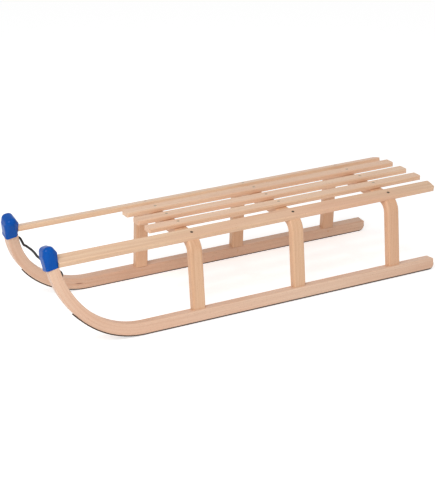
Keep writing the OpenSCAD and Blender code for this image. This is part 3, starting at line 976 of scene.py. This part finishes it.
def add_band(mesh, side):
    """Sweeps the stiffening band round the mouth of one cap."""
    profile = [(-BAND_SUNK, 0.0), (BAND_PROUD - BAND_EDGE, 0.0), (BAND_PROUD, BAND_EDGE),
               (BAND_PROUD, BAND_H - BAND_BEVEL),
               (BAND_PROUD * 0.6, BAND_H - BAND_BEVEL * 0.4), (0.0, BAND_H),
               (-BAND_SUNK, BAND_H)]
    stand = Matrix.Rotation(CAP_LEAN, 4, "X") @ Matrix.Rotation(CAP_TILT, 4, "Y")
    mirror = Matrix.Diagonal((1, side, 1, 1))
    place = mirror @ Matrix.Translation(CAP_RIM) @ stand
    rings = [[mesh.verts.new(place @ Vector((*(at + out * proud), height)))
              for proud, height in profile] for at, out in rim_line()]
    count = len(profile)
    faces = [mesh.faces.new((a[k], b[k], b[(k + 1) % count], a[(k + 1) % count]))
             for a, b in zip(rings, rings[1:]) for k in range(count)]
    faces += [mesh.faces.new(rings[0]), mesh.faces.new(rings[-1])]
    bmesh.ops.recalc_face_normals(mesh, faces=faces)


horn_caps = {}
for node, side in (("left_horn_cap", 1), ("right_horn_cap", -1)):
    shell = joined_copy(node)
    add_band(shell, side)
    cap = rounded_piece(node.replace("horn_cap", "moulded_cap"), shell, cap_finish)
    horn_caps[node] = cap
    print(cap.name, len(cap.data.polygons), "faces")

# %% [markdown]
# The floor is a sweep of pale card that glows a little, which brightens the undersides of the
# wood, and it catches the sledge's soft shadow. Where the camera sees it, it glows a little
# more: that lifts the open floor to pure white, as in a catalogue picture, and leaves the
# shadow just strong enough to stand on. Light Path tells what sees it. Reflections and
# anything clear are added to the camera, so that the glossy caps mirror the same white.

# %% Floor
FLOOR_HALF = 30.0
CARD_GREY = (0.80, 0.80, 0.80, 1.0)
WHITE = (1.0, 1.0, 1.0, 1.0)
GLOW = 0.25
GLOW_WHERE_SEEN = 0.30


def background_seen(graph):
    """1 where the camera, a reflection or something clear shows the surface."""
    camera, mirror, clear = (graph.node("ShaderNodeLightPath", out=f"Is {kind} Ray")
                             for kind in ("Camera", "Glossy", "Transmission"))
    return graph.maths("MAXIMUM", camera, graph.maths("MAXIMUM", mirror, clear))


def floor_material():
    made, graph = new_material("pale_card")
    card = graph.node("ShaderNodeBsdfDiffuse", {}, {"Color": CARD_GREY})
    glow = graph.node("ShaderNodeEmission", {}, {
        "Color": WHITE, "Strength": background_seen(graph) * GLOW_WHERE_SEEN + GLOW})
    end_material(graph, graph.node("ShaderNodeAddShader", {}, {0: card, 1: glow}))
    return made


floor_sheet = bmesh.new()
corners = ((-1, -1), (1, -1), (1, 1), (-1, 1))
floor_sheet.faces.new([floor_sheet.verts.new((FLOOR_HALF * i, FLOOR_HALF * j, 0.0))
                       for i, j in corners])
floor = add_piece("floor", floor_sheet)
floor.data.materials.append(floor_material())
print("floor", 2 * FLOOR_HALF, "m across")

# %% [markdown]
# Two soft lamps and a white sky light the sledge. The key stands ahead of it, so its front is
# brighter than its rear. A smaller lamp, above its left side, puts a glint on the caps.
# The sky is at full white only where it is seen. It lights the sledge with about half of
# that, so that pale wood doesn't clip to white.

# %% Lights
SKY_STRENGTH = 0.51


def soft_lamp(name, place, target, size, watts):
    lamp = bpy.data.lights.new(name, "AREA")
    lamp.size = size
    lamp.energy = watts
    holder = link_object(name, lamp)
    aim = (Vector(target) - Vector(place)).to_track_quat("-Z", "Y")
    holder.matrix_world = Matrix.Translation(place) @ aim.to_matrix().to_4x4()


soft_lamp("key", place=(1.75, 1.35, 1.95), target=(0.3, 0.1, 0.15), size=1.5, watts=36.5)
soft_lamp("overhead", place=(-0.35, 1.2, 2.3), target=(0.0, 0.0, 0.1), size=0.22, watts=5)

sky = bpy.data.worlds.new("sky")
sky.use_nodes = True
graph = Graph(sky.node_tree)
light = graph.node("ShaderNodeBackground", {}, {
    "Color": WHITE,
    "Strength": SKY_STRENGTH + background_seen(graph) * (1 - SKY_STRENGTH)})
graph.node("ShaderNodeOutputWorld", {}, {"Surface": light})
bpy.context.scene.world = sky
bpy.context.scene.view_settings.view_transform = "Standard"
print("sky", SKY_STRENGTH)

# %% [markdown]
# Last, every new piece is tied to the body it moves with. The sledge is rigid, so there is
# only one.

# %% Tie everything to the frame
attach(cord, "root")
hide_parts("pull_cord")
for stood_for, pieces, slot in (("wooden pieces", woodwork, "beech"),
                                ("caps", horn_caps, "cap_plastic"),
                                ("sets of screws", screw_sets, "screw_steel")):
    for node, piece in pieces.items():
        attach(piece, "root")
        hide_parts(node)
    print(len(pieces), stood_for, "tied")
